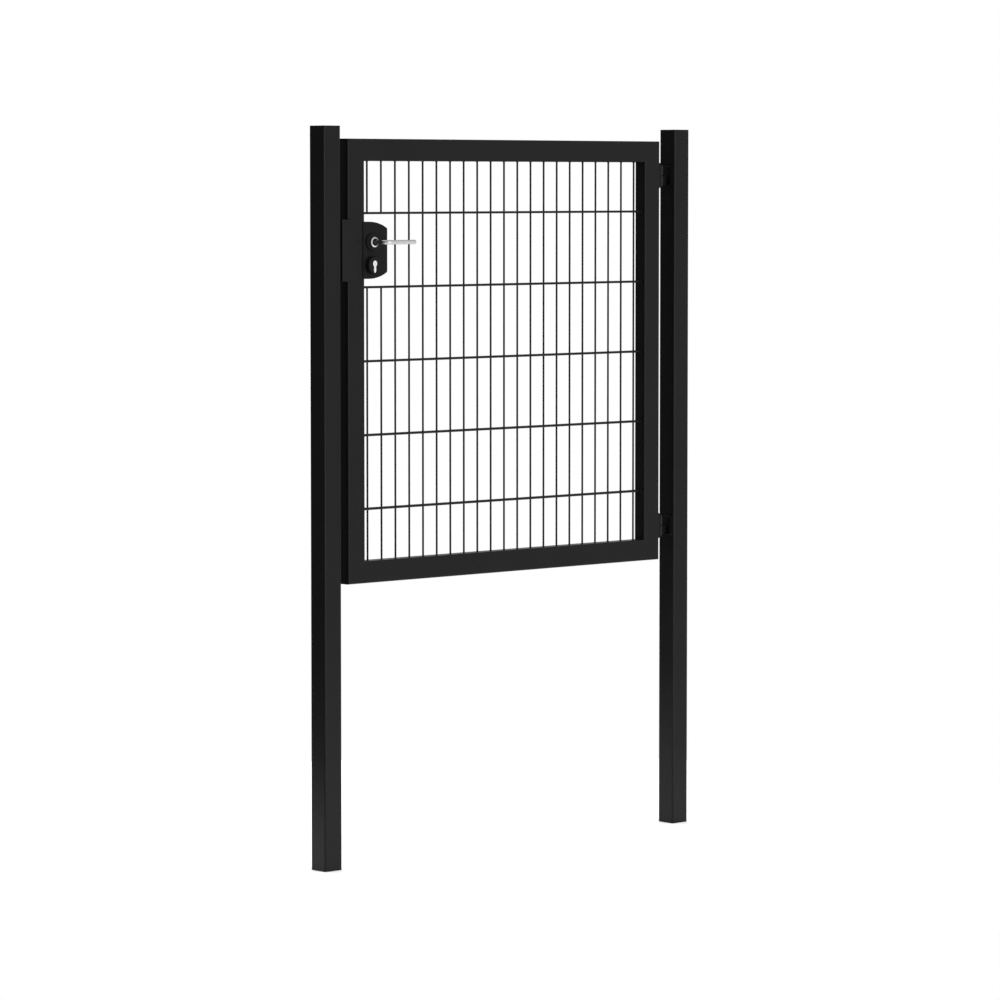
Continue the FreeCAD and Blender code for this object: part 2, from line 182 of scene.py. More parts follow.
def settle(name):
    """The new primitive takes its name, with its place and size moved into its mesh."""
    piece = bpy.context.object
    piece.name = name
    bpy.ops.object.transform_apply(location=True, rotation=True, scale=True)
    return piece


def block(name, low, high):
    clear_selection()
    low, high = Vector(low), Vector(high)
    bpy.ops.mesh.primitive_cube_add(size=1, location=(low + high) / 2)
    bpy.context.object.scale = high - low
    return settle(name)


def rod(name, start, end, radius, sides):
    """Round bar from one point to another."""
    clear_selection()
    start, end = Vector(start), Vector(end)
    along = end - start
    turn = along.to_track_quat("Z", "Y").to_euler()
    bpy.ops.mesh.primitive_cylinder_add(vertices=sides, radius=radius, depth=along.length,
                                        location=(start + end) / 2, rotation=turn)
    return settle(name)


def edit(piece):
    make_active(piece)
    bpy.ops.object.mode_set(mode="EDIT")
    bpy.ops.mesh.select_mode(type="FACE")
    bpy.ops.mesh.select_all(action="DESELECT")


def leave_edit():
    bpy.ops.object.mode_set(mode="OBJECT")


def pick(piece, kind, test):
    """Select faces, edges or vertices by a test of their place or normal; the rest is let go."""
    bpy.ops.mesh.select_mode(type=kind)
    bpy.ops.mesh.select_all(action="DESELECT")
    mesh = bmesh.from_edit_mesh(piece.data)
    mesh.normal_update()
    items = {"FACE": mesh.faces, "EDGE": mesh.edges, "VERT": mesh.verts}[kind]
    for item in items:
        if test(item):
            item.select_set(True)
    mesh.select_flush_mode()
    bmesh.update_edit_mesh(piece.data)


def faces_to(direction):
    want = Vector(direction)
    return lambda face: face.normal.dot(want) > SAME_WAY


def is_end(face):
    """A face that looks straight up or down."""
    return abs(face.normal.z) > SAME_WAY


def middle(edge):
    return (edge.verts[0].co + edge.verts[1].co) / 2


def runs_along(edge, axis):
    step = edge.verts[1].co - edge.verts[0].co
    return abs(step[axis]) > 0.999 * step.length


def lies_at(item, axis, level):
    return all(abs(v.co[axis] - level) < TOUCH for v in item.verts)


def upright_at(x, y):
    """The upright edge at one spot of the plan."""
    return lambda e: runs_along(e, Z) and lies_at(e, X, x) and lies_at(e, Y, y)


def outline_at(y):
    """The edges in one upright plane that a side of the piece starts from."""
    def test(edge):
        return lies_at(edge, Y, y) and any(abs(f.normal.y) < 0.5 for f in edge.link_faces)
    return test


def draw_out(offset):
    """Extrude what is picked."""
    bpy.ops.mesh.extrude_region_move(TRANSFORM_OT_translate={"value": offset})


def shift(offset):
    bpy.ops.transform.translate(value=offset)


def bevel(size, segments):
    bpy.ops.mesh.bevel(offset=size, offset_type="OFFSET", segments=segments, affect="EDGES",
                       clamp_overlap=True)


def finish(piece, soft_below=32):
    """Outward normals, soft shading on the rounds and flat shading on the flats."""
    edit(piece)
    bpy.ops.mesh.select_all(action="SELECT")
    bpy.ops.mesh.normals_make_consistent(inside=False)
    leave_edit()
    bpy.ops.object.shade_smooth_by_angle(angle=math.radians(soft_below))
    weighted = piece.modifiers.new("weighted", "WEIGHTED_NORMAL")
    weighted.keep_sharp = True
    bpy.ops.object.modifier_apply(modifier=weighted.name)
    clear_selection()
    return piece


def join(name, pieces):
    make_active(pieces[0])
    for piece in pieces:
        piece.select_set(True)
    bpy.ops.object.join()
    joined = bpy.context.object
    joined.name = name
    return joined


def combine(piece, tool, operation):
    """One solid cut from, or fused with, another; the tool is used up."""
    make_active(piece)
    change = piece.modifiers.new("change", "BOOLEAN")
    change.operation = operation
    change.solver = "EXACT"
    change.object = tool
    bpy.ops.object.modifier_apply(modifier=change.name)
    bpy.data.objects.remove(tool, do_unlink=True)
    return piece


def copy_of(piece, name):
    twin = piece.copy()
    twin.data = piece.data.copy()
    twin.name = name
    scene.collection.objects.link(twin)
    return twin


def shifted(piece, name, offset):
    twin = copy_of(piece, name)
    edit(twin)
    bpy.ops.mesh.select_all(action="SELECT")
    shift(offset)
    leave_edit()
    return twin


def mirrored(piece, name):
    """A copy on the leaf's other side, its faces turned outwards again."""
    twin = copy_of(piece, name)
    edit(twin)
    bpy.ops.mesh.select_all(action="SELECT")
    bpy.ops.transform.resize(value=(1, -1, 1), center_override=(0, 0, 0))
    leave_edit()
    return finish(twin)


def place(piece, body, slot, *nodes, finish_name=None):
    """Name the body a piece moves with, its finish and the solids it stands for."""
    piece.data.materials.clear()
    piece.data.materials.append(FINISHES[finish_name or slot])
    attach(piece, body)
    if nodes:
        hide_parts(*nodes)
    return piece


# Colours and node trees

def linear(code):
    """An sRGB hex colour as linear values, with full alpha."""
    parts = [int(code[i:i + 2], 16) / 255 for i in (0, 2, 4)]
    parts = [c / 12.92 if c <= 0.04045 else ((c + 0.055) / 1.055) ** 2.4 for c in parts]
    return (*parts, 1.0)


def node(tree, kind, settings=None, values=None, links=None):
    """One node with its settings, its socket values and the sockets that feed it."""
    made = tree.nodes.new(kind)
    for name, value in (settings or {}).items():
        setattr(made, name, value)
    for name, value in (values or {}).items():
        made.inputs[name].default_value = value
    for name, source in (links or {}).items():
        tree.links.new(source, made.inputs[name])
    return made


def finish_named(name):
    material = bpy.data.materials.new(name)
    material.use_nodes = True
    tree = material.node_tree
    tree.nodes.clear()
    surface = node(tree, "ShaderNodeBsdfPrincipled")
    node(tree, "ShaderNodeOutputMaterial", links={"Surface": surface.outputs["BSDF"]})
    return material, tree, surface


# Polyester powder coat on steel, sprayed and baked: neutral black with a satin gloss and a faint
# orange peel, its film a little duller and greyer in patches. The peel is drawn about twice as
# coarse as it is, because the real one is too fine to show
def powder_coat(name, peel_height):
    material, tree, surface = finish_named(name)
    surface.inputs["IOR"].default_value = 1.27
    where = node(tree, "ShaderNodeTexCoord").outputs["Object"]
    peel = node(tree, "ShaderNodeTexNoise", None,
                {"Scale": 1 / (5 * MM), "Detail": 2.0, "Roughness": 0.4}, {"Vector": where})
    flow = node(tree, "ShaderNodeTexNoise", None, {"Scale": 1 / (160 * MM), "Detail": 3.0},
                {"Vector": where})
    tone = node(tree, "ShaderNodeMix", {"data_type": "RGBA"},
                {6: linear("0b0b0c"), 7: linear("101012")}, {0: flow.outputs["Fac"]})
    tree.links.new(tone.outputs[2], surface.inputs["Base Color"])
    gloss = node(tree, "ShaderNodeMapRange", None,
                 {"From Min": 0.3, "From Max": 0.7, "To Min": 0.28, "To Max": 0.34},
                 {"Value": flow.outputs["Fac"]})
    tree.links.new(gloss.outputs["Result"], surface.inputs["Roughness"])
    relief = node(tree, "ShaderNodeBump", None, {"Strength": 0.5, "Distance": peel_height},
                  {"Height": peel.outputs["Fac"]})
    tree.links.new(relief.outputs["Normal"], surface.inputs["Normal"])
    return material


# Glass-filled polyamide, injection moulded in a spark-eroded tool: black, matt, evenly stippled
def moulded_polyamide():
    material, tree, surface = finish_named("moulded_polyamide")
    surface.inputs["IOR"].default_value = 1.2
    where = node(tree, "ShaderNodeTexCoord").outputs["Object"]
    stipple = node(tree, "ShaderNodeTexVoronoi", {"feature": "SMOOTH_F1"},
                   {"Scale": 1 / (0.6 * MM), "Smoothness": 0.6}, {"Vector": where})
    cloud = node(tree, "ShaderNodeTexNoise", None, {"Scale": 1 / (18 * MM), "Detail": 2.0},
                 {"Vector": where})
    tone = node(tree, "ShaderNodeMix", {"data_type": "RGBA"},
                {6: linear("121213"), 7: linear("171718")}, {0: cloud.outputs["Fac"]})
    tree.links.new(tone.outputs[2], surface.inputs["Base Color"])
    gloss = node(tree, "ShaderNodeMapRange", None, {"To Min": 0.46, "To Max": 0.56},
                 {"Value": cloud.outputs["Fac"]})
    tree.links.new(gloss.outputs["Result"], surface.inputs["Roughness"])
    relief = node(tree, "ShaderNodeBump", None, {"Strength": 0.3, "Distance": 0.03 * MM},
                  {"Height": stipple.outputs["Distance"]})
    tree.links.new(relief.outputs["Normal"], surface.inputs["Normal"])
    return material


# Stainless steel, fine satin from a brush along the bar: pale warm grey with short hairlines
def satin_stainless():
    material, tree, surface = finish_named("satin_stainless")
    surface.inputs["Metallic"].default_value = 1.0
    where = node(tree, "ShaderNodeTexCoord").outputs["Object"]
    stretch = node(tree, "ShaderNodeMapping", None,
                   {"Scale": (1 / (9 * MM), 1 / (0.22 * MM), 1 / (0.22 * MM))}, {"Vector": where})
    hair = node(tree, "ShaderNodeTexNoise", None, {"Scale": 1.0, "Detail": 3.0, "Roughness": 0.6},
                {"Vector": stretch.outputs["Vector"]})
    tone = node(tree, "ShaderNodeMix", {"data_type": "RGBA"},
                {6: linear("c6c5c3"), 7: linear("dcdbd9")}, {0: hair.outputs["Fac"]})
    tree.links.new(tone.outputs[2], surface.inputs["Base Color"])
    gloss = node(tree, "ShaderNodeMapRange", None, {"To Min": 0.24, "To Max": 0.38},
                 {"Value": hair.outputs["Fac"]})
    tree.links.new(gloss.outputs["Result"], surface.inputs["Roughness"])
    relief = node(tree, "ShaderNodeBump", None, {"Strength": 0.12, "Distance": 0.01 * MM},
                  {"Height": hair.outputs["Fac"]})
    tree.links.new(relief.outputs["Normal"], surface.inputs["Normal"])
    return material


# Brass, nickel plated to a satin: a soft bright grey with a trace of warmth, faintly mottled
def nickel_plated_brass():
    material, tree, surface = finish_named("nickel_plated_brass")
    surface.inputs["Metallic"].default_value = 1.0
    where = node(tree, "ShaderNodeTexCoord").outputs["Object"]
    fine = node(tree, "ShaderNodeTexNoise", None, {"Scale": 1 / (0.5 * MM), "Detail": 2.0},
                {"Vector": where})
    tone = node(tree, "ShaderNodeMix", {"data_type": "RGBA"},
                {6: linear("f2f1ee"), 7: linear("fbfaf8")}, {0: fine.outputs["Fac"]})
    tree.links.new(tone.outputs[2], surface.inputs["Base Color"])
    gloss = node(tree, "ShaderNodeMapRange", None, {"To Min": 0.26, "To Max": 0.36},
                 {"Value": fine.outputs["Fac"]})
    tree.links.new(gloss.outputs["Result"], surface.inputs["Roughness"])
    return material


# Die-cast aluminium left plain: mid grey, slightly mottled and dull
def cast_aluminium():
    material, tree, surface = finish_named("cast_aluminium")
    surface.inputs["Metallic"].default_value = 1.0
    where = node(tree, "ShaderNodeTexCoord").outputs["Object"]
    mottle = node(tree, "ShaderNodeTexNoise", None, {"Scale": 1 / (4 * MM), "Detail": 4.0},
                  {"Vector": where})
    tone = node(tree, "ShaderNodeMix", {"data_type": "RGBA"},
                {6: linear("a5a6a8"), 7: linear("bcbdbf")}, {0: mottle.outputs["Fac"]})
    tree.links.new(tone.outputs[2], surface.inputs["Base Color"])
    gloss = node(tree, "ShaderNodeMapRange", None, {"To Min": 0.45, "To Max": 0.6},
                 {"Value": mottle.outputs["Fac"]})
    tree.links.new(gloss.outputs["Result"], surface.inputs["Roughness"])
    relief = node(tree, "ShaderNodeBump", None, {"Strength": 0.2, "Distance": 0.05 * MM},
                  {"Height": mottle.outputs["Fac"]})
    tree.links.new(relief.outputs["Normal"], surface.inputs["Normal"])
    return material


FINISHES = {
    "powder_coat": powder_coat("powder_coated_steel", peel_height=0.03 * MM),
    "powder_coated_wire": powder_coat("powder_coated_wire", peel_height=0.005 * MM),
    "polyamide": moulded_polyamide(),
    "lock_metal": cast_aluminium(),
    "nickel_brass": nickel_plated_brass(),
    "stainless": satin_stainless(),
}


# Posts: rolled square tube, plain cut at both ends
def post(name, solid):
    low, high = box_of(solid)
    centre = (low + high) / 2
    half = (high.x - low.x) / 2
    tube = block(name, low, high)
    edit(tube)
    pick(tube, "FACE", is_end)
    bpy.ops.mesh.inset(thickness=TUBE_WALL)
    bpy.ops.mesh.bridge_edge_loops()

    def corner(reach):
        def test(edge):
            at = middle(edge)
            return (runs_along(edge, Z) and abs(abs(at.x - centre.x) - reach) < TOUCH
                    and abs(abs(at.y - centre.y) - reach) < TOUCH)
        return test

    pick(tube, "EDGE", corner(half))
    bevel(POST_RADIUS, segments=8)
    pick(tube, "EDGE", corner(half - TUBE_WALL))
    bevel(POST_RADIUS - TUBE_WALL, segments=5)
    return place(finish(tube), "posts", "powder_coat", solid)


# Caps: moulded lids, their top edges softened, with the plug that grips inside the tube
def post_cap(name, solid):
    low, high = box_of(solid)
    shelf = high.z - CAP_THICK
    lid = block(name, (low.x, low.y, shelf), high)
    edit(lid)
    pick(lid, "EDGE", lambda e: runs_along(e, Z))
    bevel(POST_RADIUS, segments=8)
    pick(lid, "EDGE", lambda e: lies_at(e, Z, high.z))
    bevel(CAP_EDGE, segments=4)
    centre_x = (low.x + high.x) / 2
    half = (high.x - low.x - 2 * TUBE_WALL - CAP_PLUG_PLAY) / 2
    plug = block("plug", (centre_x - half, -half, low.z), (centre_x + half, half, shelf))
    edit(plug)
    pick(plug, "EDGE", lambda e: runs_along(e, Z))
    bevel(POST_RADIUS - TUBE_WALL, segments=4)
    pick(plug, "FACE", faces_to((0, 0, -1)))
    bpy.ops.mesh.inset(thickness=CAP_PLUG_WALL)
    draw_out((0, 0, CAP_PLUG_HOLLOW_SHARE * (shelf - low.z)))
    return place(finish(join(name, [lid, plug])), "posts", "polyamide", solid)


# Leaf frame: four tubes mitred into each other
def leaf_member(name, solid, run):
    """One member of the frame, cut at 45 degrees at both ends; run is the axis it lies along."""
    low, high = box_of(solid)
    leaf_low, leaf_high = box_of("latch_stile")[0], box_of("hinge_stile")[1]
    member = block(name, low, high)
    across = X if run == Z else Z
    beyond_middle = high[across] > (leaf_low[across] + leaf_high[across]) / 2
    inner, outer = (low[across], high[across]) if beyond_middle else (high[across], low[across])
    edit(member)
    for end, way in ((low[run], -1), (high[run], 1)):
        corner = Vector((0, 0, 0))
        corner[run], corner[across] = end, outer
        mitre = Vector((0, 0, 0))
        mitre[run], mitre[across] = way, 1 if inner > outer else -1
        bpy.ops.mesh.select_all(action="SELECT")
        bpy.ops.mesh.bisect(plane_co=corner, plane_no=mitre.normalized(), clear_outer=True,
                            use_fill=True)

    def long_corner(edge):
        at = middle(edge)
        return (runs_along(edge, run) and abs(abs(at.y) - high.y) < TOUCH
                and min(abs(at[across] - inner), abs(at[across] - outer)) < TOUCH)

    pick(member, "EDGE", long_corner)
    bevel(LEAF_RADIUS, segments=7)
    return place(finish(member), "leaf", "powder_coat", solid)


# Welded mesh: uprights between two cross wires at each level
def nugget(name, centre, size):
    """Small lump of metal squeezed out where two wires were welded."""
    clear_selection()
    bpy.ops.mesh.primitive_uv_sphere_add(segments=8, ring_count=5, radius=1, location=centre)
    bpy.context.object.scale = size
    return settle(name)


def wire(name, start, end, radius, run):
    """One cut wire that lies along the axis run, the edges of its ends broken."""
    bar = rod(name, start, end, radius, WIRE_SIDES)
    edit(bar)
    pick(bar, "EDGE", lambda e: lies_at(e, run, start[run]) or lies_at(e, run, end[run]))
    bevel(WIRE_EDGE, segments=1)
    leave_edit()
    return bar


def spread(centre, count, pitch):
    """Evenly spaced places about a middle."""
    return [centre + (i - (count - 1) / 2) * pitch for i in range(count)]


def welded_mesh():
    left, right = box_of("latch_stile")[1].x, box_of("hinge_stile")[0].x
    bottom, top = box_of("bottom_rail")[1].z, box_of("top_rail")[0].z
    cover_right = box_of("lock_cover_front")[1].x
    count = int((right - left - MESH_MARGIN) / WIRE_PITCH + 1e-6) + 1
    uprights = spread((left + right) / 2, count, WIRE_PITCH)
    levels = spread((bottom + top) / 2, LEVEL_COUNT, LEVEL_PITCH)
    offset = UPRIGHT_RADIUS + CROSS_RADIUS
    parts = []
    for x in uprights:
        if x < cover_right + COVER_WIRE_ROOM + UPRIGHT_RADIUS:
            spans = [(bottom, levels[-2] + WIRE_STUB), (levels[-1] - WIRE_STUB, top)]
        else:
            spans = [(bottom, top)]
        for z0, z1 in spans:
            parts.append(wire("upright", (x, 0, z0), (x, 0, z1), UPRIGHT_RADIUS, Z))
    for z in levels:
        for side in (-1, 1):
            y = side * offset
            parts.append(wire("cross_wire", (left, y, z), (right, y, z), CROSS_RADIUS, X))
    weld = nugget("weld", (uprights[0], -UPRIGHT_RADIUS, levels[0]), WELD_SIZE)
    for x in uprights:
        for z in levels:
            for side in (-1, 1):
                step = (x - uprights[0], (1 + side) * UPRIGHT_RADIUS, z - levels[0])
                parts.append(shifted(weld, "weld", step))
    bpy.data.objects.remove(weld, do_unlink=True)
    for x in uprights:
        for z in (bottom, top):
            parts.append(nugget("foot", (x, 0, z), UPRIGHT_FOOT_SIZE))
    for z in levels:
        for side in (-1, 1):
            for x in (left, right):
                parts.append(nugget("foot", (x, side * offset, z), CROSS_FOOT_SIZE))
    return place(finish(join("welded_mesh", parts), soft_below=40), "leaf", "powder_coat",
                 "mesh_panel", finish_name="powder_coated_wire")


# Lock: two half shells with a round rose each, a key cylinder through both
def cover_half_height(x, start, end, half):
    """Half the lock's height at one place along the leaf: a wide arc, then a round corner."""
    drop = half - COVER_SIDE_HEIGHT / 2
    radius = ((end - start) ** 2 + drop ** 2) / (2 * drop)
    round_x = end - COVER_CORNER
    round_z = half - radius + math.sqrt((radius - COVER_CORNER) ** 2 - (round_x - start) ** 2)
    if x > start + (round_x - start) * radius / (radius - COVER_CORNER):
        return round_z + math.sqrt(max(0.0, COVER_CORNER ** 2 - (x - round_x) ** 2))
    return half - radius + math.sqrt(radius ** 2 - (x - start) ** 2)


def lock_cover(name):
    solid = "lock_cover_front"
    low, high = box_of(solid)
    stile_right = box_of("latch_stile")[1].x
    stile_front = -box_of("latch_stile")[1].y
    plate_front = stile_front - COVER_SKIN
    middle_z, half = (low.z + high.z) / 2, (high.z - low.z) / 2
    start = stile_right + COVER_STRAIGHT
    shell = block(name, (low.x, plate_front, low.z), (start, high.y, high.z))
    edit(shell)
    pick(shell, "FACE", faces_to((1, 0, 0)))
    x_before, half_before = start, half
    for i in range(1, COVER_STEPS + 1):
        x = start + (high.x - start) * math.sin(math.pi / 2 * i / COVER_STEPS)
        half_now = cover_half_height(x, start, high.x, half)
        draw_out((x - x_before, 0, 0))
        bpy.ops.transform.resize(value=(1, 1, half_now / half_before),
                                 center_override=(x, 0, middle_z))
        x_before, half_before = x, half_now
    pick(shell, "EDGE", outline_at(plate_front))
    bevel(COVER_FRONT_EDGE, segments=3)
    pick(shell, "EDGE", outline_at(high.y))
    bevel(COVER_BACK_EDGE, segments=1)
    leave_edit()
    stile = block("stile_room", (low.x - OVERCUT, stile_front, low.z - OVERCUT),
                  (stile_right, OVERCUT, high.z + OVERCUT))
    combine(shell, stile, "DIFFERENCE")
    x, z = handle_axis()
    rose = rod("rose", (x, low.y, z), (x, plate_front + ROSE_SEAT, z), ROSE_RADIUS, sides=64)
    edit(rose)
    pick(rose, "EDGE", lambda e: lies_at(e, Y, low.y))
    bevel(ROSE_EDGE, segments=5)
    leave_edit()
    return place(finish(join(name, [shell, rose])), "leaf", "polyamide", solid)


def key_profile(name, y0, y1, x, z, play=0.0):
    """Round barrel with the narrower round-ended tail below it."""
    foot = z + BARREL_RADIUS - CYLINDER_HEIGHT - play
    half = TAIL_RADIUS + play
    barrel = rod(name, (x, y0, z), (x, y1, z), BARREL_RADIUS + play, sides=56)
    tail = block("tail", (x - half, y0, foot), (x + half, y1, z))
    edit(tail)
    pick(tail, "EDGE", lambda e: runs_along(e, Y) and lies_at(e, Z, foot))
    bevel(half * TAIL_ROUND_SHARE, segments=10)
    leave_edit()
    return combine(barrel, tail, "UNION")


def cylinder_rose(name):
    solid = "cylinder_rose_front"
    low, high = box_of(solid)
    x, z = (low.x + high.x) / 2, (low.z + high.z) / 2
    rose = rod(name, (x, low.y, z), (x, high.y, z), ROSE_RADIUS, sides=72)
    edit(rose)
    pick(rose, "EDGE", lambda e: lies_at(e, Y, low.y))
    bevel(ROSE_EDGE, segments=6)
    leave_edit()
    barrel_z = box_of("lock_cylinder")[1].z - BARREL_RADIUS
    hole = key_profile("hole", low.y - OVERCUT, high.y + OVERCUT, x, barrel_z, CYLINDER_PLAY)
    combine(rose, hole, "DIFFERENCE")
    return place(finish(rose), "leaf", "polyamide", solid)


def key_cylinder():
    """The cylinder, with a fine groove round its plug and a keyway at each end."""
    low, high = box_of("lock_cylinder")
    x, z = (low.x + high.x) / 2, high.z - BARREL_RADIUS
    body = key_profile("key_cylinder", low.y, high.y, x, z)
    for side in (-1, 1):
        face = side * high.y
        ring = rod("plug_ring", (x, face - side * PLUG_GROOVE_DEPTH, z), (x, face + side * MM, z),
                   PLUG_RADIUS + PLUG_GROOVE_OUTSIDE, sides=48)
        core = rod("plug_core", (x, face - side * 2 * MM, z), (x, face + side * 2 * MM, z),
                   PLUG_RADIUS - PLUG_GROOVE_INSIDE, sides=48)
        combine(ring, core, "DIFFERENCE")
        combine(body, ring, "DIFFERENCE")
        y0, y1 = sorted((face - side * KEYWAY_DEPTH, face + side * MM))
        slot, ward = [block("keyway", (x + x0, y0, z + z0), (x + x1, y1, z + z1))
                      for x0, z0, x1, z1 in (KEYWAY_SLOT, KEYWAY_WARD)]
        combine(slot, ward, "UNION")
        combine(body, slot, "DIFFERENCE")
    return place(finish(body), "leaf", "nickel_brass", "lock_cylinder")


def latch():
    low, high = box_of("latch_bolt")
    bar = block("latch_tongue", low, high)
    edit(bar)
    pick(bar, "EDGE", upright_at(low.x, low.y))
    shift((LATCH_SLOPE, 0, 0))
    pick(bar, "EDGE", lambda e: middle(e).x < low.x + LATCH_SLOPE + MM)
    bevel(LATCH_EDGE, segments=2)
    return place(finish(bar), "leaf", "stainless", "latch_bolt")


# Lever handle: a round bar bent out of its collar, its end rounded
def lever(name):
    solid = "lever_front"
    low, high = box_of(solid)
    x, z = handle_axis()
    y_bend = low.y + LEVER_RADIUS + LEVER_BEND
    y_neck = high.y - LEVER_SEAT
    y_collar = high.y - COLLAR_THICK
    clear_selection()
    bpy.ops.mesh.primitive_circle_add(vertices=36, radius=LEVER_RADIUS, fill_type="NGON",
                                      location=(x, y_neck, z), rotation=(math.pi / 2, 0, 0))
    bar = settle(name)
    edit(bar)
    bpy.ops.mesh.select_all(action="SELECT")
    draw_out((0, y_bend - y_neck, 0))
    bpy.ops.mesh.spin(steps=12, angle=-math.pi / 2, center=(x + LEVER_BEND, y_bend, z),
                      axis=(0, 0, 1))
    draw_out((high.x - x - LEVER_BEND, 0, 0))
    pick(bar, "EDGE", lambda e: lies_at(e, X, high.x))
    bevel(LEVER_TIP_EDGE, segments=5)
    leave_edit()
    ring = rod("ring", (x, y_collar, z), (x, high.y, z), COLLAR_RADIUS, sides=56)
    edit(ring)
    pick(ring, "FACE", lambda f: lies_at(f, Y, y_collar))
    bpy.ops.mesh.inset(thickness=COLLAR_SLOPE)

    def rim_at(y):
        def test(edge):
            at = middle(edge)
            out = Vector((at.x - x, at.z - z)).length
            return lies_at(edge, Y, y) and out > COLLAR_RADIUS - RIM_REACH
        return test

    pick(ring, "EDGE", rim_at(y_collar))
    shift((0, COLLAR_DROP, 0))
    pick(ring, "FACE", lambda f: lies_at(f, Y, y_collar))
    bpy.ops.mesh.inset(thickness=COLLAR_LIP)
    draw_out((0, COLLAR_RECESS, 0))
    pick(ring, "EDGE", rim_at(y_collar + COLLAR_DROP))
    bevel(COLLAR_EDGE, segments=2)
    leave_edit()
    return place(finish(join(name, [bar, ring])), "handle", "stainless", solid)


def lever_bush(name):
    """Black bearing ring between the lever's neck and its collar."""
    x, z = handle_axis()
    y_collar = box_of("lever_front")[1].y - COLLAR_THICK
    radius = COLLAR_RADIUS - COLLAR_SLOPE - COLLAR_LIP
    bush = rod(name, (x, y_collar + BUSH_FRONT, z), (x, y_collar + BUSH_BACK, z),
               radius + BUSH_GRIP, sides=48)
    edit(bush)
    pick(bush, "FACE", faces_to((0, -1, 0)))
    bpy.ops.mesh.inset(thickness=radius - LEVER_RADIUS - BUSH_PLAY)
    draw_out((0, BUSH_DISH, 0))
    return place(finish(bush), "handle", "polyamide")


# Keep: plate on the latch post, stepped forward into a stop flange before the leaf, so that a dark
# groove shows between post and flange, with a gusset at each end
def keep():
    low, high = box_of("keep")
    step_x, step_y = low.x + KEEP_STEP, low.y + KEEP_STEP
    step_back, flange_back = step_y + KEEP_THICK, low.y + KEEP_THICK
    bracket = block("keep_bracket", (low.x, step_y, low.z),
                    (low.x + KEEP_THICK, high.y, high.z))
    edit(bracket)

    def split(at, way):
        bpy.ops.mesh.select_all(action="SELECT")
        bpy.ops.mesh.bisect(plane_co=at, plane_no=way)

    def grow(test, offset):
        pick(bracket, "FACE", test)
        draw_out(offset)

    def faces_right_before(y):
        return lambda f: f.normal.x > SAME_WAY and f.calc_center_median().y < y

    split((0, step_back, 0), (0, 1, 0))
    grow(faces_right_before(step_back), (KEEP_STEP, 0, 0))
    split((step_x, 0, 0), (1, 0, 0))
    grow(lambda f: f.normal.y < -SAME_WAY and f.calc_center_median().x > step_x,
         (0, -KEEP_STEP, 0))
    split((0, flange_back, 0), (0, 1, 0))
    grow(faces_right_before(flange_back), (high.x - step_x - KEEP_THICK, 0, 0))
    pick(bracket, "EDGE", upright_at(high.x, low.y))
    bevel(KEEP_ROUND, segments=8)
    pick(bracket, "EDGE", upright_at(step_x, low.y))
    bevel(KEEP_STEP_EDGE, segments=2)
    leave_edit()
    right = box_of("latch_stile")[0].x - GUSSET_SHORT
    front = flange_back - KEEP_THICK / 2
    parts = [bracket]
    for z0 in (low.z, high.z - KEEP_THICK):
        gusset = block("gusset", (step_x + KEEP_THICK / 2, front, z0),
                       (right, high.y, z0 + KEEP_THICK))
        edit(gusset)
        pick(gusset, "EDGE", upright_at(right, high.y))
        shift((low.x + KEEP_THICK - right, 0, 0))
        pick(gusset, "EDGE", upright_at(right, front))
        shift((0, GUSSET_CUT, 0))
        leave_edit()
        parts.append(gusset)
    return place(finish(join("keep_bracket", parts)), "posts", "powder_coat", "keep")


# Hinges: plate, web and knuckle on each side, a headed pin through both, painted over with them
def knuckle(name, x, z0, z1, bore):
    ring = rod(name, (x, 0, z0), (x, 0, z1), KNUCKLE_RADIUS, sides=48)
    edit(ring)
    pick(ring, "FACE", is_end)
    bpy.ops.mesh.inset(thickness=KNUCKLE_RADIUS - bore)
    bpy.ops.mesh.bridge_edge_loops()

    def rim(edge):
        at = middle(edge)
        out = Vector((at.x - x, at.y)).length
        return (lies_at(edge, Z, z0) or lies_at(edge, Z, z1)) and out > KNUCKLE_RADIUS - RIM_REACH

    pick(ring, "EDGE", rim)
    bevel(HINGE_EDGE, segments=3)
    leave_edit()
    return ring


def hinge_half(name, solid, body, side):
    """One half of a hinge; side is +1 where the plate lies to the right of the knuckle."""
    low, high = box_of(solid)
    pin_low, pin_high = box_of(solid.split("_")[0] + "_hinge_pin")
    x = (pin_low.x + pin_high.x) / 2
    centre = (low.z + high.z) / 2
    knuckle_end = pin_low.z + PIN_HEAD
    if side > 0:
        face = high.x - POST_PLATE_THICK
        plate = block(name, (face, low.y, low.z), high)
        z0, z1 = knuckle_end, centre - KNUCKLE_PLAY / 2
        web_low, web_high = x, face + MM
        bore = PIN_RADIUS
    else:
        face = low.x + LEAF_PLATE_THICK
        plate = block(name, low, (face, high.y, high.z))
        z0, z1 = centre + KNUCKLE_PLAY / 2, 2 * centre - knuckle_end
        web_low, web_high = face - MM, x
        bore = PIN_RADIUS + PIN_PLAY
    edit(plate)
    pick(plate, "EDGE", lambda e: runs_along(e, X))
    bevel(PLATE_CORNER, segments=4)
    if side > 0:
        pick(plate, "VERT", lambda v: abs(v.co.x - face) < TOUCH
             and v.co.y < low.y + PLATE_CORNER + TOUCH)
        shift((0, POST_PLATE_TAPER, 0))
    pick(plate, "EDGE", lambda e: lies_at(e, X, face))
    bevel(HINGE_EDGE, segments=3)
    leave_edit()
    web = block("web", (web_low, -HINGE_WEB / 2, z0), (web_high, HINGE_WEB / 2, z1))
    hole = rod("hole", (x, 0, z0 - MM), (x, 0, z1 + MM), KNUCKLE_RADIUS - WEB_SEAT, sides=48)
    combine(web, hole, "DIFFERENCE")
    ring = knuckle("knuckle", x, z0, z1, bore)
    return place(finish(join(name, [plate, web, ring])), body, "powder_coat", solid)


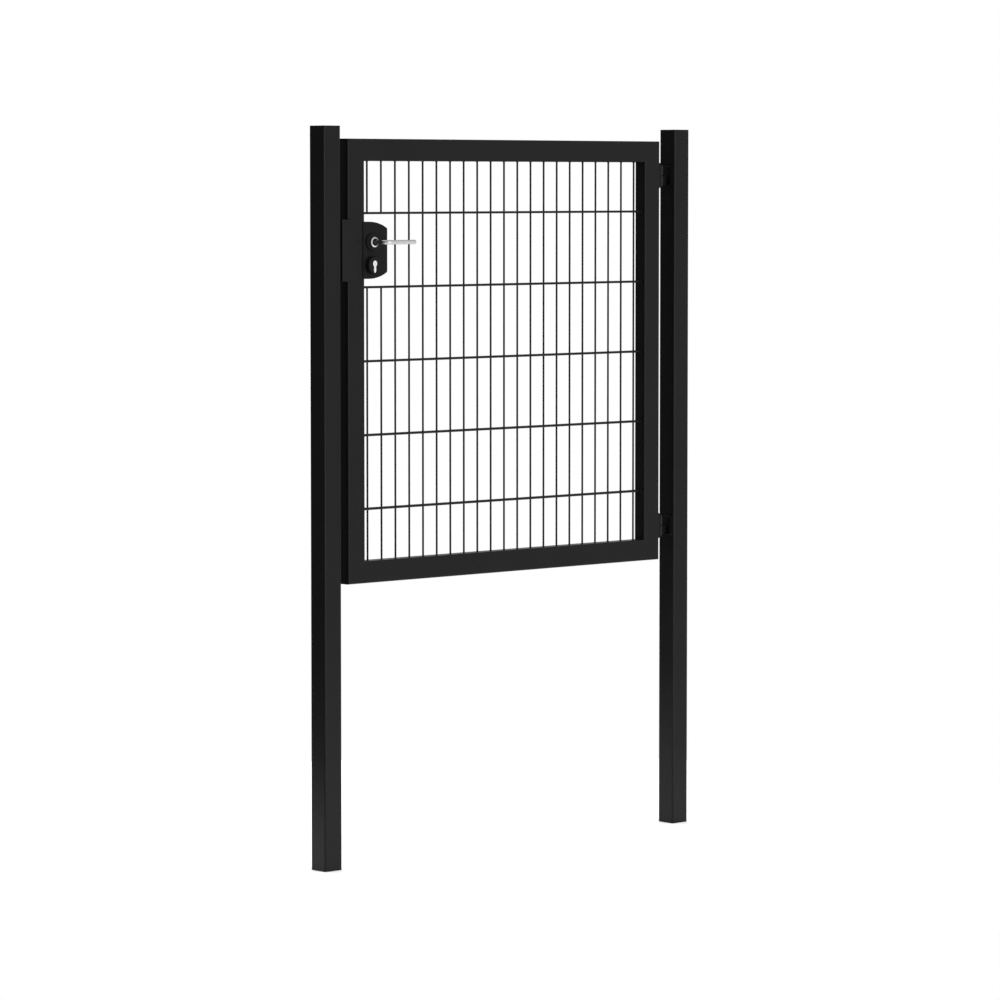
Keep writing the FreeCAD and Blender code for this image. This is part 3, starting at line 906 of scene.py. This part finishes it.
def hinge_pin(name, solid):
    low, high = box_of(solid)
    x = (low.x + high.x) / 2
    head_top = low.z + PIN_HEAD
    pin = rod(name, (x, 0, head_top), (x, 0, high.z), PIN_RADIUS, sides=40)
    edit(pin)
    pick(pin, "EDGE", lambda e: lies_at(e, Z, high.z))
    bevel(HINGE_EDGE, segments=3)
    leave_edit()
    head = rod("head", (x, 0, low.z), (x, 0, head_top), PIN_RADIUS + PIN_HEAD_RIM, sides=40)
    edit(head)
    pick(head, "EDGE", lambda e: lies_at(e, Z, low.z))
    bevel(PIN_HEAD_EDGE, segments=3)
    leave_edit()
    return place(finish(join(name, [pin, head])), "posts", "powder_coat", solid)


def build():
    for side in ("hinge", "latch"):
        post(side + "_post_tube", side + "_post")
        post_cap(side + "_post_lid", side + "_post_cap")
    for name in ("top_rail", "bottom_rail"):
        leaf_member(name + "_tube", name, X)
    for name in ("latch_stile", "hinge_stile"):
        leaf_member(name + "_tube", name, Z)
    welded_mesh()
    keep()
    front = lock_cover("lock_shell_front")
    place(mirrored(front, "lock_shell_back"), "leaf", "polyamide", "lock_cover_back")
    rose = cylinder_rose("key_rose_front")
    place(mirrored(rose, "key_rose_back"), "leaf", "polyamide", "cylinder_rose_back")
    key_cylinder()
    latch()
    handle = lever("lever_handle_front")
    place(mirrored(handle, "lever_handle_back"), "handle", "stainless", "lever_back")
    bush = lever_bush("lever_bush_front")
    place(mirrored(bush, "lever_bush_back"), "handle", "polyamide")
    for level in ("upper", "lower"):
        hinge_half(level + "_leaf_hinge", level + "_hinge_leaf_plate", "leaf", -1)
        hinge_half(level + "_post_hinge", level + "_hinge_post_plate", "posts", 1)
        hinge_pin(level + "_hinge_bolt", level + "_hinge_pin")
    for entry in frame["record"]["subparts"]:
        solid = frame["nodes"][entry["node"]]
        solid.data.materials.clear()
        solid.data.materials.append(FINISHES[entry["material_slot"]])


# Camera at the photograph's angle, fitted to the corners of the posts and the leaf
CAMERA_AT = (-8.6799, -8.8101, 1.8469)
CAMERA_YAW = 42.248
CAMERA_PITCH = 3.546
CAMERA_LENS = 154.23
CAMERA_SENSOR = 36.0
CAMERA_SHIFT = -0.05


def camera():
    data = bpy.data.cameras.new("camera")
    data.sensor_width = CAMERA_SENSOR
    data.lens = CAMERA_LENS
    data.shift_y = CAMERA_SHIFT
    data.clip_end = 200.0
    seen = bpy.data.objects.new("camera", data)
    scene.collection.objects.link(seen)
    seen.location = CAMERA_AT
    seen.rotation_euler = (math.pi / 2 - math.radians(CAMERA_PITCH), 0, -math.radians(CAMERA_YAW))
    scene.camera = seen


# Studio: a round white floor under a broad soft sun that metal doesn't mirror, and a wrap of light
# that is brightest in front and to the right, with one softbox straight before the gate and one
# high behind it. The camera itself sees plain white around the floor
FLOOR_CENTRE = (-0.655, 0, 0)
FLOOR_RADIUS = 1.85
SUN_STRENGTH = 2.6
SUN_SPREAD = 70
WRAP_TO = Vector((0.64, -0.768, 0))
SOFTBOX_TO = Vector((0.17, -0.985, 0))
ABOVE_TO = Vector((0.1, 0.72, 0.69))
WHITE = (1, 1, 1, 1)


def studio():
    floor_finish, _, surface = finish_named("pale_floor")
    surface.inputs["Base Color"].default_value = linear("f7f7f7")
    surface.inputs["Roughness"].default_value = 1.0
    surface.inputs["Specular IOR Level"].default_value = 0.0
    clear_selection()
    bpy.ops.mesh.primitive_circle_add(vertices=128, radius=FLOOR_RADIUS, fill_type="NGON",
                                      location=FLOOR_CENTRE)
    floor = bpy.context.object
    floor.name = "floor"
    floor.data.materials.append(floor_finish)
    overhead = bpy.data.lights.new("overhead", "SUN")
    overhead.energy = SUN_STRENGTH
    overhead.angle = math.radians(SUN_SPREAD)
    lamp = bpy.data.objects.new("overhead", overhead)
    lamp.visible_glossy = False
    scene.collection.objects.link(lamp)

    world = bpy.data.worlds.new("studio")
    world.use_nodes = True
    tree = world.node_tree
    tree.nodes.clear()
    way = node(tree, "ShaderNodeTexCoord").outputs["Generated"]

    def towards(direction, low, high, dark, bright):
        """Light that rises smoothly as the way looked turns towards a direction."""
        turn = node(tree, "ShaderNodeVectorMath", {"operation": "DOT_PRODUCT"},
                    {1: direction}, {0: way})
        ramp = node(tree, "ShaderNodeMapRange", {"interpolation_type": "SMOOTHSTEP"},
                    {"From Min": low, "From Max": high, "To Min": dark, "To Max": bright},
                    {"Value": turn.outputs["Value"]})
        return ramp.outputs["Result"]

    wrap = towards(WRAP_TO, low=-1.0, high=1.0, dark=0.14, bright=0.80)
    softbox = towards(SOFTBOX_TO, low=0.93, high=0.985, dark=0.0, bright=2.6)
    above = towards(ABOVE_TO, low=0.75, high=0.97, dark=0.0, bright=1.3)
    front = node(tree, "ShaderNodeMath", {"operation": "ADD"}, None, {0: wrap, 1: softbox})
    total = node(tree, "ShaderNodeMath", {"operation": "ADD"}, None,
                 {0: front.outputs[0], 1: above})
    around = node(tree, "ShaderNodeBackground", None, {"Color": WHITE},
                  {"Strength": total.outputs[0]})
    behind = node(tree, "ShaderNodeBackground", None, {"Color": WHITE, "Strength": 1.0})
    ray = node(tree, "ShaderNodeLightPath")
    mix = node(tree, "ShaderNodeMixShader", None, None,
               {0: ray.outputs["Is Camera Ray"], 1: around.outputs[0], 2: behind.outputs[0]})
    node(tree, "ShaderNodeOutputWorld", links={"Surface": mix.outputs[0]})
    scene.world = world
    scene.view_settings.view_transform = "Standard"


camera()
studio()
build()
clear_selection()
